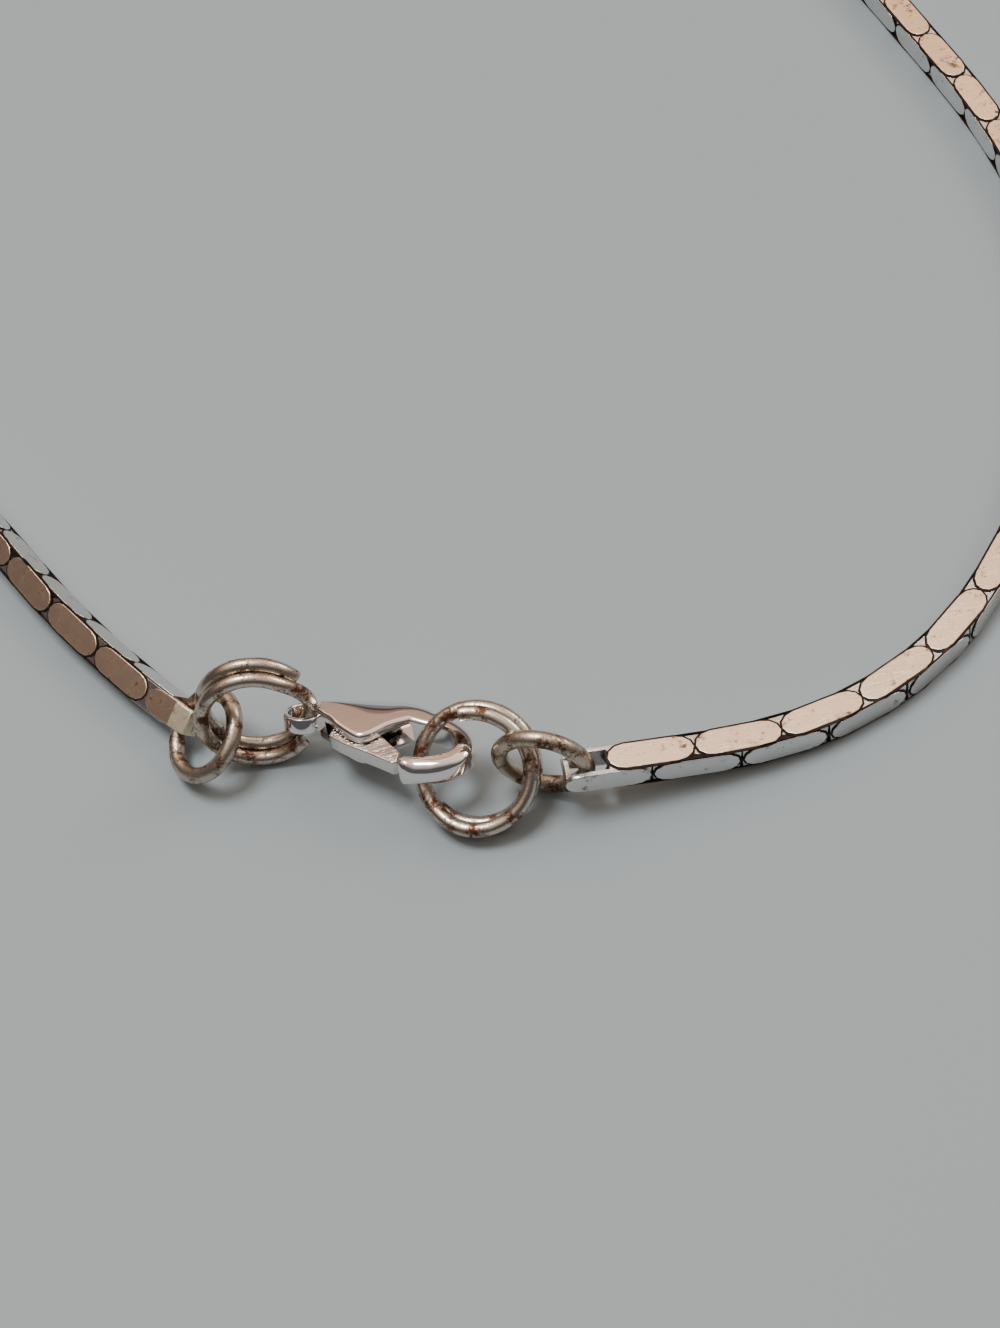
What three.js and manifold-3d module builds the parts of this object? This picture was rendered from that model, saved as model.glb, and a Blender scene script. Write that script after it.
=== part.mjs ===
import * as THREE from 'three';
import { mergeVertices } from 'three/addons/utils/BufferGeometryUtils.js';
import Module from 'manifold-3d';

// A chain necklace of flat bar links, fastened: chain, two jump rings, two split rings and a lobster clasp.
// Millimetres and degrees, +Z up. The clasp lies at the near side, the loop runs away from it along +Y.

// Driving dimensions of the chain
const section = 1.6;
const linkPitch = 4.34;
const padWidth = 1.44;
const padEndGap = 0.12;
const padArcSteps = 3;

// Driving dimensions of the end links
const plateThickness = 0.24;
const rightCoreStart = 0.12;
const strapThickness = 0.32;
const strapHeight = 0.5;
const strapRise = 0.3;
const leftPlateReach = 3.4;
const leftOpening = 1.5;
const leftNeckThickness = 0.26;

// How the chain lies: the left stretch is rolled onto its edge and eases flat along the loop
const leftRoll = 33;
const rollHold = 24;
const rollEase = 60;

// Driving dimensions of the rings
const jumpWire = 0.84;
const jumpRadius = 2.15;
const splitWire = 0.76;
const leftSplitRadius = 2.7;
const rightSplitRadius = 2.86;
const splitTurnGap = 0.06;
const crossingHalfAngle = 45;
const wireSides = 8;
const ringSteps = 28;
const splitStepsPerTurn = 26;

// Driving dimensions of the clasp; the lever's slot and the slimmer hook are shares of its length and width
const claspLength = 9.35;
const claspWidth = 4.6;
const claspThickness = 2.0;
const hookThickness = 1.4;
const claspBevel = 0.22;
const eyeOuterRadius = 1.06;
const eyeHoleRadius = 0.78;
const eyeHeight = 0.84;
const eyeTilt = -16;
const neckHalfWidth = 0.36;
const neckStart = 0.9;
const eyeSides = 14;
const pinSides = 10;
const claspSteps = 2;
const leverSteps = 3;
const leverThickness = 0.86;
const leverGap = 0.1;
const pinRadius = 0.28;
const pinGap = 0.08;
const slotStartShare = 0.15;
const slotEndShare = 0.622;
const slotTopShare = 0.04;
const slimStartShare = 0.5;
const slimEndShare = 0.75;

// Points that the chain's middle passes, from its right end round the loop to its left end.
// Each holds x, y and the lift above where the chain would rest.
const chainRoute = [
  [9.54, -5.16, 1.3], [13.67, -5.47, 0.75], [17.89, -5.66, 0.3], [22.22, -5.05, 0.05],
  [26.26, -3.53, 0], [29.88, -0.99, 0], [35.72, 5.67, 0], [39.9, 13.5, 0],
  [42.13, 22.01, 0], [42.2, 30.87, 0], [41.04, 39.32, 0], [38.4, 55, 0],
  [36, 76, 0], [33.5, 98, 0], [30, 121, 0], [22, 141, 0],
  [8, 154, 0], [-10, 157, 0], [-27, 149.5, 0], [-37, 133, 0],
  [-40, 112, 0], [-38.5, 90, 0], [-34.5, 68, 0], [-29, 46, 0],
  [-23.2, 29.5, 0], [-18.29, 18.95, 0], [-16.28, 14.72, 0], [-14.11, 10.89, 0],
  [-11.74, 7.1, 0.1], [-9.7, 4.2, 0.45],
];

// Places of the rings: centre and the direction that each ring faces
const leftJumpPlace = { centre: [-9.302, 3.208, 1.944], facing: [-0.547, -0.035, 0.836] };
const rightJumpPlace = { centre: [6.708, -4.242, 2.655], facing: [0.426, 0.905, 0.014] };
const leftSplitPlace = { centre: [-6.383, 2.796, 3.2], facing: [-0.152, -0.96, 0.235] };
const rightSplitPlace = { centre: [3.442, -3.399, 2.391], facing: [-0.198, -0.573, 0.795] };

// Split ring turns: first angle and sweep, how far the turns are spread and in which direction, where the wire
// crosses over to the next turn, and how much flatter the turns lie where they are spread
const leftSplitWinding = {
  start: 28.4, sweep: 647, spread: 0.413, spreadAngle: 73.1, crossing: 372.2, flatten: 0.24,
};
const rightSplitWinding = {
  start: 147.6, sweep: 660, spread: 0.207, spreadAngle: 54.5, crossing: 573.7, flatten: 0,
};

// Place of the clasp: the middle of its eye, its heading, its roll about its length and the rise of its far end
const claspPlace = { eye: [-4.222, 2.452, 2.028], heading: -25.83, roll: 16.26, pitch: 0.92 };

const wasm = await Module();
wasm.setup();

/** Turns a closed geometry into a solid that can be joined and cut. */
function toSolid(geometry) {
  const bare = geometry.clone();
  bare.deleteAttribute('normal');
  bare.deleteAttribute('uv');
  const merged = mergeVertices(bare, 1e-5);
  const mesh = new wasm.Mesh({
    numProp: 3,
    vertProperties: new Float32Array(merged.attributes.position.array),
    triVerts: new Uint32Array(merged.index.array),
  });
  return new wasm.Manifold(mesh);
}

/** Turns a solid back into a geometry. */
function toGeometry(solid) {
  const mesh = solid.getMesh();
  const geometry = new THREE.BufferGeometry();
  geometry.setAttribute('position', new THREE.BufferAttribute(mesh.vertProperties, 3));
  geometry.setIndex(new THREE.BufferAttribute(mesh.triVerts, 1));
  return geometry;
}

/** The chain's middle line, with the section's own left and up directions at each distance along it. */
class ChainLine {
  constructor(points) {
    const controls = points.map(([x, y, lift]) => new THREE.Vector3(x, y, lift));
    this.curve = new THREE.CatmullRomCurve3(controls, false, 'centripetal');
    this.curve.arcLengthDivisions = 3000;
    this.length = this.curve.getLength();
  }

  /** Roll of the section about the line, in radians. */
  rollAt(distance) {
    const fromLeftEnd = this.length - distance;
    const share = 1 - THREE.MathUtils.smoothstep(fromLeftEnd, rollHold, rollHold + rollEase);
    return THREE.MathUtils.degToRad(leftRoll) * share;
  }

  frameAt(distance) {
    const inside = THREE.MathUtils.clamp(distance, 0, this.length);
    const point = this.curve.getPointAt(inside / this.length);
    const along = this.curve.getTangentAt(inside / this.length);
    point.addScaledVector(along, distance - inside);
    const roll = this.rollAt(inside);
    const level = new THREE.Vector3(-along.y, along.x, 0).normalize();
    const steep = new THREE.Vector3().crossVectors(along, level);
    const left = level.clone().multiplyScalar(Math.cos(roll)).addScaledVector(steep, Math.sin(roll));
    const up = steep.clone().multiplyScalar(Math.cos(roll)).addScaledVector(level, -Math.sin(roll));
    const half = section / 2;
    const corner = padWidth / 2;
    const flatFirst = corner * Math.sin(roll) + half * Math.cos(roll);
    const edgeFirst = half * Math.sin(roll) + corner * Math.cos(roll);
    point.z += Math.max(flatFirst, edgeFirst);
    return { point, left, up };
  }

  /** Lays a geometry modelled along X, left +Y and up +Z, onto the line. */
  lay(geometry) {
    const position = geometry.attributes.position;
    const placed = new THREE.Vector3();
    for (let i = 0; i < position.count; i += 1) {
      const frame = this.frameAt(position.getX(i));
      placed.copy(frame.point);
      placed.addScaledVector(frame.left, position.getY(i));
      placed.addScaledVector(frame.up, position.getZ(i));
      position.setXYZ(i, placed.x, placed.y, placed.z);
    }
    return geometry;
  }
}

/** Adds half a circle to an outline, in straight steps, from one angle on. */
function addHalfRound(outline, centreX, radius, fromAngle) {
  for (let i = 0; i <= padArcSteps; i += 1) {
    const angle = fromAngle + (i / padArcSteps) * Math.PI;
    outline.push(new THREE.Vector2(centreX + radius * Math.cos(angle), radius * Math.sin(angle)));
  }
}

/** A link seen from its flat side: two round ends or a square far end, as thick as the chain is. */
function linkGeometry(start, end, squareEnd) {
  const radius = padWidth / 2;
  const outline = [];
  addHalfRound(outline, start + radius, radius, Math.PI / 2);
  if (squareEnd) {
    outline.push(new THREE.Vector2(end, -radius), new THREE.Vector2(end, radius));
  } else {
    addHalfRound(outline, end - radius, radius, -Math.PI / 2);
  }
  const link = new THREE.ExtrudeGeometry(new THREE.Shape(outline), { depth: section, bevelEnabled: false });
  link.translate(0, 0, -section / 2);
  return link;
}

/** A box given by its two ends along the chain, its width, and its bottom and top. */
function barGeometry(start, end, width, bottom, top) {
  const bar = new THREE.BoxGeometry(end - start, width, top - bottom);
  bar.translate((start + end) / 2, 0, (bottom + top) / 2);
  return bar;
}

/** The whole chain with both end links: joined while straight, then laid along its line. */
function chainGeometry() {
  const line = new ChainLine(chainRoute);
  const flatCount = Math.round((line.length - leftPlateReach) / linkPitch);
  const pitch = (line.length - leftPlateReach) / flatCount;
  const leftOpeningEnd = line.length - leftNeckThickness;
  const leftOpeningStart = leftOpeningEnd - leftOpening;
  const links = [];
  for (let i = 0; i <= flatCount; i += 1) {
    const last = i === flatCount;
    const start = i * pitch + padEndGap / 2;
    links.push(linkGeometry(start, last ? line.length : start + pitch - padEndGap, last));
    const sideEnd = Math.min(start + pitch / 2 - padEndGap, leftOpeningStart);
    links.push(linkGeometry(start - pitch / 2, sideEnd, last).rotateX(Math.PI / 2));
  }
  const opening = section - 2 * plateThickness;
  const tall = 2 * section;
  const strapEnd = (padEndGap - pitch) / 2 + strapThickness;
  const cuts = [
    barGeometry(strapEnd, rightCoreStart, opening, -tall, tall),
    barGeometry(-pitch, strapEnd, opening, -tall, strapRise - strapHeight),
    barGeometry(-pitch, strapEnd, opening, strapRise, tall),
    barGeometry(leftOpeningStart, leftOpeningEnd, tall, -opening / 2, opening / 2),
  ];
  const straight = wasm.Manifold.union(links.map(toSolid)).subtract(wasm.Manifold.union(cuts.map(toSolid)));
  return line.lay(toGeometry(straight));
}

/** A closed round ring of wire that faces the given direction. */
function jumpRingGeometry(place) {
  const ring = new THREE.TorusGeometry(jumpRadius, jumpWire / 2, wireSides, ringSteps);
  const facing = new THREE.Vector3(...place.facing).normalize();
  ring.applyQuaternion(new THREE.Quaternion().setFromUnitVectors(new THREE.Vector3(0, 0, 1), facing));
  ring.translate(...place.centre);
  return ring;
}

/** The middle line of a split ring: nearly two turns that climb by one wire and are spread sideways. */
class SplitRingCurve extends THREE.Curve {
  constructor(radius, place, winding) {
    super();
    this.radius = radius;
    this.winding = winding;
    this.facing = new THREE.Vector3(...place.facing).normalize();
    this.right = new THREE.Vector3(1, 0, 0).addScaledVector(this.facing, -this.facing.x).normalize();
    this.away = new THREE.Vector3().crossVectors(this.facing, this.right);
    this.centre = new THREE.Vector3(...place.centre);
  }

  getPoint(t, target = new THREE.Vector3()) {
    const { start, sweep, spread, spreadAngle, crossing, flatten } = this.winding;
    const turned = start + sweep * t;
    const angle = THREE.MathUtils.degToRad(turned);
    const side = THREE.MathUtils.degToRad(spreadAngle);
    const firstTurnEnd = crossing - crossingHalfAngle;
    const second = THREE.MathUtils.smoothstep(turned, firstTurnEnd, crossing + crossingHalfAngle);
    const stacked = 1 - flatten * Math.sin(angle - side + Math.PI / 2) ** 2;
    const climb = (splitWire + splitTurnGap) * (second - 0.5) * stacked;
    const shift = spread * (0.5 - second);
    target.copy(this.centre);
    target.addScaledVector(this.right, this.radius * Math.cos(angle) + shift * Math.cos(side));
    target.addScaledVector(this.away, this.radius * Math.sin(angle) + shift * Math.sin(side));
    return target.addScaledVector(this.facing, climb);
  }
}

/** A round section for a wire. */
function wireSection(diameter) {
  const outline = new THREE.Shape();
  for (let i = 0; i < wireSides; i += 1) {
    const angle = (i / wireSides) * Math.PI * 2;
    const x = (diameter / 2) * Math.cos(angle);
    const y = (diameter / 2) * Math.sin(angle);
    if (i === 0) {
      outline.moveTo(x, y);
    } else {
      outline.lineTo(x, y);
    }
  }
  return outline;
}

/** A split ring, wound from one wire. */
function splitRingGeometry(radius, place, winding) {
  const path = new SplitRingCurve(radius, place, winding);
  const steps = Math.round((splitStepsPerTurn * winding.sweep) / 360);
  return new THREE.ExtrudeGeometry(wireSection(splitWire), { steps, bevelEnabled: false, extrudePath: path });
}

// Outlines of the clasp, from the eye's middle: shares of its length along it and of its width across it
const bodyOuter = [
  [0.2, 0.172], [0.342, 0.243], [0.513, 0.272], [0.642, 0.25], [0.77, 0.163], [0.888, 0.043],
  [0.973, -0.13], [1, -0.326], [0.963, -0.522], [0.866, -0.663], [0.749, -0.722], [0.631, -0.728],
];
const hookInner = [
  [0.738, -0.543], [0.834, -0.467], [0.893, -0.326], [0.856, -0.152], [0.759, -0.06], [0.61, -0.04],
];
const bodyLobe = [[0.513, -0.196], [0.439, -0.355], [0.374, -0.402], [0.278, -0.315], [0.182, -0.174]];
const hookTipInner = [0.631, -0.565];
const leverOuter = [[0.2, -0.32], [0.3, -0.42], [0.45, -0.52], [0.6, -0.63]];
const leverEnd = [[0.618, -0.6], [0.618, -0.46]];
const leverInner = [[0.5, -0.27], [0.4, -0.1], [0.28, -0.06], [0.2, -0.14]];
const pivot = [0.342, -0.21];

/** A point of the clasp's outline in millimetres. */
function claspPoint([along, across]) {
  return new THREE.Vector2(along * claspLength, across * claspWidth);
}

/** Thickness of the clasp at a distance along it, as a share of its full thickness. */
function claspTaper(x) {
  const slim = THREE.MathUtils.smoothstep(x, slimStartShare * claspLength, slimEndShare * claspLength);
  return THREE.MathUtils.lerp(1, hookThickness / claspThickness, slim);
}

/** The clasp's body: eye, neck, side walls, back, hook and pivot pin. */
function claspBodyGeometry() {
  const outline = new THREE.Shape();
  outline.moveTo(neckStart, neckHalfWidth);
  outline.splineThru(bodyOuter.map(claspPoint));
  outline.lineTo(...claspPoint(hookTipInner).toArray());
  outline.splineThru(hookInner.map(claspPoint));
  outline.splineThru(bodyLobe.map(claspPoint));
  outline.lineTo(neckStart, -neckHalfWidth);
  outline.closePath();
  const body = new THREE.ExtrudeGeometry(outline, {
    depth: claspThickness - 2 * claspBevel,
    bevelThickness: claspBevel,
    bevelSize: claspBevel,
    bevelOffset: -claspBevel,
    bevelSegments: 1,
    curveSegments: claspSteps,
  });
  body.translate(0, 0, claspBevel - claspThickness / 2);
  const position = body.attributes.position;
  for (let i = 0; i < position.count; i += 1) {
    position.setZ(i, position.getZ(i) * claspTaper(position.getX(i)));
  }
  const ring = new THREE.Shape();
  ring.absarc(0, 0, eyeOuterRadius, 0, Math.PI * 2, false);
  const hole = new THREE.Path();
  hole.absarc(0, 0, eyeHoleRadius, 0, Math.PI * 2, true);
  ring.holes.push(hole);
  const eye = new THREE.ExtrudeGeometry(ring, { depth: eyeHeight, bevelEnabled: false, curveSegments: eyeSides });
  eye.translate(0, 0, -eyeHeight / 2);
  eye.rotateX(THREE.MathUtils.degToRad(eyeTilt));
  const bore = new THREE.CylinderGeometry(eyeHoleRadius, eyeHoleRadius, 2 * claspThickness, eyeSides);
  bore.rotateX(Math.PI / 2 + THREE.MathUtils.degToRad(eyeTilt));
  const slotHeight = leverThickness + 2 * leverGap;
  const slotStart = slotStartShare * claspLength;
  const slotEnd = slotEndShare * claspLength;
  const slotTop = slotTopShare * claspWidth;
  const slot = new THREE.BoxGeometry(slotEnd - slotStart, claspWidth, slotHeight);
  slot.translate((slotStart + slotEnd) / 2, slotTop - claspWidth / 2, 0);
  const pin = new THREE.CylinderGeometry(pinRadius, pinRadius, claspThickness, pinSides).rotateX(Math.PI / 2);
  const pinPlace = claspPoint(pivot);
  pin.translate(pinPlace.x, pinPlace.y, 0);
  let solid = toSolid(body).subtract(toSolid(bore)).subtract(toSolid(slot));
  solid = solid.add(toSolid(eye)).add(toSolid(pin));
  return toGeometry(solid);
}

/** The sprung lever, with the hole that turns on the pin. */
function claspLeverGeometry() {
  const outline = new THREE.Shape();
  const first = claspPoint(leverOuter[0]);
  outline.moveTo(first.x, first.y);
  outline.splineThru(leverOuter.slice(1).map(claspPoint));
  leverEnd.map(claspPoint).forEach((point) => outline.lineTo(point.x, point.y));
  outline.splineThru(leverInner.map(claspPoint));
  outline.closePath();
  const hole = new THREE.Path();
  const pinPlace = claspPoint(pivot);
  hole.absarc(pinPlace.x, pinPlace.y, pinRadius + pinGap, 0, Math.PI * 2, true);
  outline.holes.push(hole);
  const options = { depth: leverThickness, bevelEnabled: false, curveSegments: leverSteps };
  const lever = new THREE.ExtrudeGeometry(outline, options);
  lever.translate(0, 0, -leverThickness / 2);
  return lever;
}

/** A named mesh with a metal of its own. */
function piece(name, geometry, color, roughness) {
  const mesh = new THREE.Mesh(geometry, new THREE.MeshStandardMaterial({ color, roughness, metalness: 1 }));
  mesh.name = name;
  return mesh;
}

const clasp = new THREE.Group();
clasp.add(piece('clasp_body', claspBodyGeometry(), 0xd6d2d0, 0.16));
clasp.add(piece('clasp_lever', claspLeverGeometry(), 0xcfcac8, 0.2));
clasp.position.set(...claspPlace.eye);
clasp.rotation.order = 'ZYX';
clasp.rotation.x = -THREE.MathUtils.degToRad(claspPlace.roll);
clasp.rotation.y = -THREE.MathUtils.degToRad(claspPlace.pitch);
clasp.rotation.z = THREE.MathUtils.degToRad(claspPlace.heading);

const necklace = new THREE.Group();
necklace.add(piece('chain', chainGeometry(), 0xbdb2a8, 0.34));
necklace.add(piece('left_jump_ring', jumpRingGeometry(leftJumpPlace), 0xa89c8e, 0.36));
necklace.add(piece('right_jump_ring', jumpRingGeometry(rightJumpPlace), 0xa29b92, 0.4));
const leftSplit = splitRingGeometry(leftSplitRadius, leftSplitPlace, leftSplitWinding);
const rightSplit = splitRingGeometry(rightSplitRadius, rightSplitPlace, rightSplitWinding);
necklace.add(piece('left_split_ring', leftSplit, 0xb0a79c, 0.3));
necklace.add(piece('right_split_ring', rightSplit, 0xb3aaa0, 0.3));
necklace.add(clasp);

// The origin is the middle of the loop's box, on the surface that it lies on
necklace.updateMatrixWorld(true);
const box = new THREE.Box3().setFromObject(necklace, true);
const middle = box.getCenter(new THREE.Vector3());
necklace.position.set(-middle.x, -middle.y, -box.min.z);

export default necklace;
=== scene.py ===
"""A bar-link chain necklace on a pale table: chain, jump rings, split rings and lobster clasp."""

import logging
import math
import random
from bisect import bisect_right
from collections.abc import Sequence
from dataclasses import dataclass, field
from enum import Enum
from typing import ClassVar

import bpy
from mathutils import Matrix, Vector

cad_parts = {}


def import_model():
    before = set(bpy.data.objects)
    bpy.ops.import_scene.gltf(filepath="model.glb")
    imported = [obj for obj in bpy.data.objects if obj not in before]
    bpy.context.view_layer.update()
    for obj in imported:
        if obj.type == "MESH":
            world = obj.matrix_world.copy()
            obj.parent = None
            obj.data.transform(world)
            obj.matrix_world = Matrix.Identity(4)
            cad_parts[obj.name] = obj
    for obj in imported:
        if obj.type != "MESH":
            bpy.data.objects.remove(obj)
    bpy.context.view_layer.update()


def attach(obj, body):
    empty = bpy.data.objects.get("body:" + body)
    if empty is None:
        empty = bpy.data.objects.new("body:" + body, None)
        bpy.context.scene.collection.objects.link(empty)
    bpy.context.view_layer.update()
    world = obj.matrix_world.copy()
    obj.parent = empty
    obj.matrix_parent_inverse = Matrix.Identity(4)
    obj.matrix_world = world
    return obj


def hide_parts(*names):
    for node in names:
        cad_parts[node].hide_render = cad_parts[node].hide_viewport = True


LOG = logging.getLogger("necklace")

Piece = bpy.types.Object
Metal = bpy.types.Material
Socket = bpy.types.NodeSocket
Point = Sequence[float]

# One millimetre in metres, and the shift from the drawing's origin, near the clasp, to the frame's
MM = 0.001
ORIGIN_SHIFT = Vector((-1.1600, -75.7615, 0.0042))

# The body that carries everything but the clasp's lever, and the lever's own
MAIN_BODY = "necklace"
LEVER_BODY = "lever"

# Edges sharper than this many degrees are rounded; points nearer than this many millimetres merge
SHARP_EDGE = 60.0
SAME_POINT = 0.002


class Axis(Enum):
    """The three directions of the frame."""

    X = "X"
    Y = "Y"
    Z = "Z"


class Joinery(Enum):
    """What a tool piece does to the piece that it meets."""

    CUT = "DIFFERENCE"
    WELD = "UNION"


def metres(place: Matrix) -> Matrix:
    """Turns a place in drawing millimetres into one in the frame's metres."""
    out = place.copy()
    out.translation = (place.translation + ORIGIN_SHIFT) * MM
    return out


class Bench:
    """Small jobs on the workbench: choosing, cutting, rounding and joining pieces."""

    @staticmethod
    def clear() -> None:
        """Leaves nothing selected."""
        bpy.ops.object.select_all(action="DESELECT")

    @staticmethod
    def pick(piece: Piece) -> None:
        """Selects one piece and makes it the active one."""
        Bench.clear()
        piece.select_set(True)
        bpy.context.view_layer.objects.active = piece

    @staticmethod
    def settle(piece: Piece) -> None:
        """Moves a piece's place, turn and size into its mesh."""
        Bench.pick(piece)
        bpy.ops.object.transform_apply(location=True, rotation=True, scale=True)

    @staticmethod
    def finish(piece: Piece, kind: str, **values: object) -> None:
        """Adds a modifier to a piece and applies it.

        Args:
            piece: The piece that gets the modifier.
            kind: Blender's name of the modifier.
            values: The modifier's settings.
        """
        Bench.pick(piece)
        modifier = piece.modifiers.new(kind.lower(), kind)
        for name, value in values.items():
            setattr(modifier, name, value)
        bpy.ops.object.modifier_apply(modifier=modifier.name)

    @staticmethod
    def combine(piece: Piece, tool: Piece, joinery: Joinery = Joinery.CUT) -> None:
        """Cuts or joins a piece with a tool piece, which is used up.

        Args:
            piece: The piece that stays.
            tool: The piece that is used up.
            joinery: What the tool does.
        """
        Bench.finish(piece, "BOOLEAN", operation=joinery.value, object=tool, solver="EXACT")
        bpy.data.objects.remove(tool, do_unlink=True)

    @staticmethod
    def cut_box(piece: Piece, low: Point, high: Point) -> None:
        """Cuts a box between two corners in millimetres out of a piece."""
        Bench.combine(piece, Bench.box(low, high))

    @staticmethod
    def round_edges(piece: Piece, width: float, segments: int = 2) -> None:
        """Rounds the sharp edges of a piece.

        Args:
            piece: The piece.
            width: Width of the rounding in millimetres.
            segments: Steps across the rounding.
        """
        Bench.finish(
            piece, "BEVEL", width=width * MM, segments=segments, limit_method="ANGLE",
            angle_limit=math.radians(SHARP_EDGE), miter_outer="MITER_ARC",
        )

    @staticmethod
    def smooth(piece: Piece, angle: float, weight: int = 0) -> None:
        """Shades a piece smooth but for its sharper edges.

        Args:
            piece: The piece.
            angle: Edges sharper than this many degrees stay sharp.
            weight: How strongly broad faces flatten the shading at their rims, or 0 for not at all.
        """
        Bench.pick(piece)
        bpy.ops.object.shade_smooth_by_angle(angle=math.radians(angle))
        if weight:
            Bench.finish(piece, "WEIGHTED_NORMAL", weight=weight, keep_sharp=True)

    @staticmethod
    def tidy_mesh(piece: Piece) -> None:
        """Merges doubled points and turns the faces outwards."""
        Bench.pick(piece)
        bpy.ops.object.mode_set(mode="EDIT")
        bpy.ops.mesh.select_all(action="SELECT")
        bpy.ops.mesh.remove_doubles(threshold=SAME_POINT * MM)
        bpy.ops.mesh.normals_make_consistent(inside=False)
        bpy.ops.object.mode_set(mode="OBJECT")

    @staticmethod
    def box(low: Point, high: Point) -> Piece:
        """Makes a box between two corners in millimetres."""
        Bench.clear()
        centre = [(a + b) / 2 * MM for a, b in zip(low, high)]
        bpy.ops.mesh.primitive_cube_add(size=1.0, location=centre)
        piece = bpy.context.object
        piece.scale = [(b - a) * MM for a, b in zip(low, high)]
        Bench.settle(piece)
        return piece

    @staticmethod
    def stack(rings: Sequence[Sequence[Point]]) -> Piece:
        """Makes a closed piece by extruding a filled ring of points through further rings.

        Args:
            rings: The rings from the lowest up, each with as many points, in millimetres.

        Returns:
            The piece.
        """
        count = len(rings[0])
        Bench.clear()
        bpy.ops.mesh.primitive_circle_add(vertices=count, radius=MM, fill_type="NGON")
        piece = bpy.context.object
        bpy.ops.object.mode_set(mode="EDIT")
        bpy.ops.mesh.select_all(action="SELECT")
        bpy.ops.object.mode_set(mode="OBJECT")
        for level, ring in enumerate(rings):
            if level:
                bpy.ops.object.mode_set(mode="EDIT")
                step = {"value": (0.0, 0.0, MM)}
                bpy.ops.mesh.extrude_region_move(TRANSFORM_OT_translate=step)
                bpy.ops.object.mode_set(mode="OBJECT")
            for vertex, point in zip(piece.data.vertices[-count:], ring):
                vertex.co = Vector(point) * MM
        Bench.tidy_mesh(piece)
        return piece

    @staticmethod
    def plate(outline: Sequence[Point], low: float, high: float) -> Piece:
        """Makes a flat plate.

        Args:
            outline: Points round the plate in millimetres, counterclockwise.
            low: Height of the lower face.
            high: Height of the upper face.

        Returns:
            The plate.
        """
        return Bench.stack([[(*point, height) for point in outline] for height in (low, high)])

    @staticmethod
    def cushion(
        outline: Sequence[Point],
        half: float,
        widths: Sequence[float],
        drops: Sequence[float],
        levels: int,
    ) -> Piece:
        """Makes a plate whose rims are rounded by a width and a drop of their own at every point.

        Args:
            outline: Points round the plate in millimetres, counterclockwise.
            half: Half of the plate's thickness.
            widths: How far the rounding reaches into the face at each point, in millimetres.
            drops: How far it reaches down the wall there.
            levels: Steps across one rounding.

        Returns:
            The plate.
        """
        ways = inward_ways(outline)
        angles = [math.pi / 2 * i / levels for i in range(levels, -1, -1)]
        rings = []
        for angle, face in [(a, -1) for a in angles] + [(a, 1) for a in reversed(angles)]:
            inset, fall = 1 - math.cos(angle), 1 - math.sin(angle)
            ring = []
            for (x, y), way, width, drop in zip(outline, ways, widths, drops):
                step = width * inset
                ring.append((x + way[0] * step, y + way[1] * step, face * (half - drop * fall)))
            rings.append(ring)
        return Bench.stack(rings)

    @staticmethod
    def copy_at(pattern: Piece, place: Matrix) -> Piece:
        """Copies a piece with a mesh of its own and sets it at a place in millimetres."""
        mesh = pattern.data.copy()
        mesh.transform(metres(place))
        copy = bpy.data.objects.new(pattern.name, mesh)
        bpy.context.collection.objects.link(copy)
        return copy

    @staticmethod
    def paint(piece: Piece, *metals: Metal) -> Piece:
        """Gives a piece its metals in place of any that it has, and returns it."""
        piece.data.materials.clear()
        for metal in metals:
            piece.data.materials.append(metal)
        return piece

    @staticmethod
    def join(pieces: Sequence[Piece]) -> Piece:
        """Joins pieces into the first of them and returns it."""
        Bench.pick(pieces[0])
        for piece in pieces:
            piece.select_set(True)
        bpy.ops.object.join()
        return pieces[0]


def spline_through(start: Point, points: Sequence[Point], steps: int) -> list[Point]:
    """Draws a smooth flat line from a start through points.

    Args:
        start: Where the line begins; it isn't returned.
        points: The points that the line passes.
        steps: Straight steps between two points.

    Returns:
        The points of the line after its start.
    """
    knots = [Vector((*point, 0.0)) for point in (start, *points)]
    line = []
    for i, (a, b) in enumerate(zip(knots, knots[1:])):
        before, after = knots[max(i - 1, 0)], knots[min(i + 2, len(knots) - 1)]
        leave, arrive = (b - before) / 2, (after - a) / 2
        for k in range(1, steps + 1):
            t = k / steps
            bent = (2 * t**3 - 3 * t**2 + 1) * a + (t**3 - 2 * t**2 + t) * leave
            bent += (3 * t**2 - 2 * t**3) * b + (t**3 - t**2) * arrive
            line.append((bent.x, bent.y))
    return line


def inward_ways(outline: Sequence[Point]) -> list[Point]:
    """Finds the way into the plate at each point of a counterclockwise outline.

    Args:
        outline: The points, in order.

    Returns:
        A flat direction of length 1 for each point.
    """
    ways = []
    for i, point in enumerate(outline):
        here, after = Vector(point), Vector(outline[(i + 1) % len(outline)])
        arrive, leave = (here - Vector(outline[i - 1])).normalized(), (after - here).normalized()
        along = (arrive + leave).normalized()
        ways.append((-along.y, along.x))
    return ways


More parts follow.
